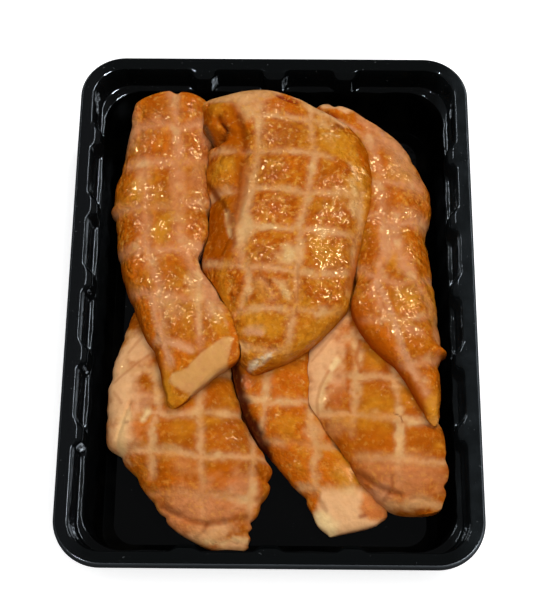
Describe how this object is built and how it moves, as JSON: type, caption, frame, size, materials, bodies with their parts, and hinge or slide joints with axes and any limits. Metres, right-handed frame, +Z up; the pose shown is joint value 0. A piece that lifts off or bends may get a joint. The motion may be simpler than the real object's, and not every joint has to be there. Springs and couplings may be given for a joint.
{
  "type": "meat tray pack",
  "caption": "Deep black plastic food tray with a flat rim and lugged walls, filled with whole grilled poultry breasts that carry the marks of a cooking net.",
  "frame": {"origin": "middle of the tray's base, on the surface that it stands on", "axes": "+X to the right across the tray, +Y along the tray to its far end, +Z up"},
  "size_m": [0.19, 0.26, 0.045],
  "materials": {
    "tray": "glossy thermoformed black plastic",
    "meat": "moist grilled poultry, orange-brown with pale net lines"
  },
  "bodies": {
    "root": {"tray": "tray", "breast_near_left": "meat", "breast_near_centre": "meat", "breast_near_right": "meat", "breast_far_left": "meat", "breast_far_right": "meat", "breast_far_centre": "meat"}
  },
  "joints": []
}
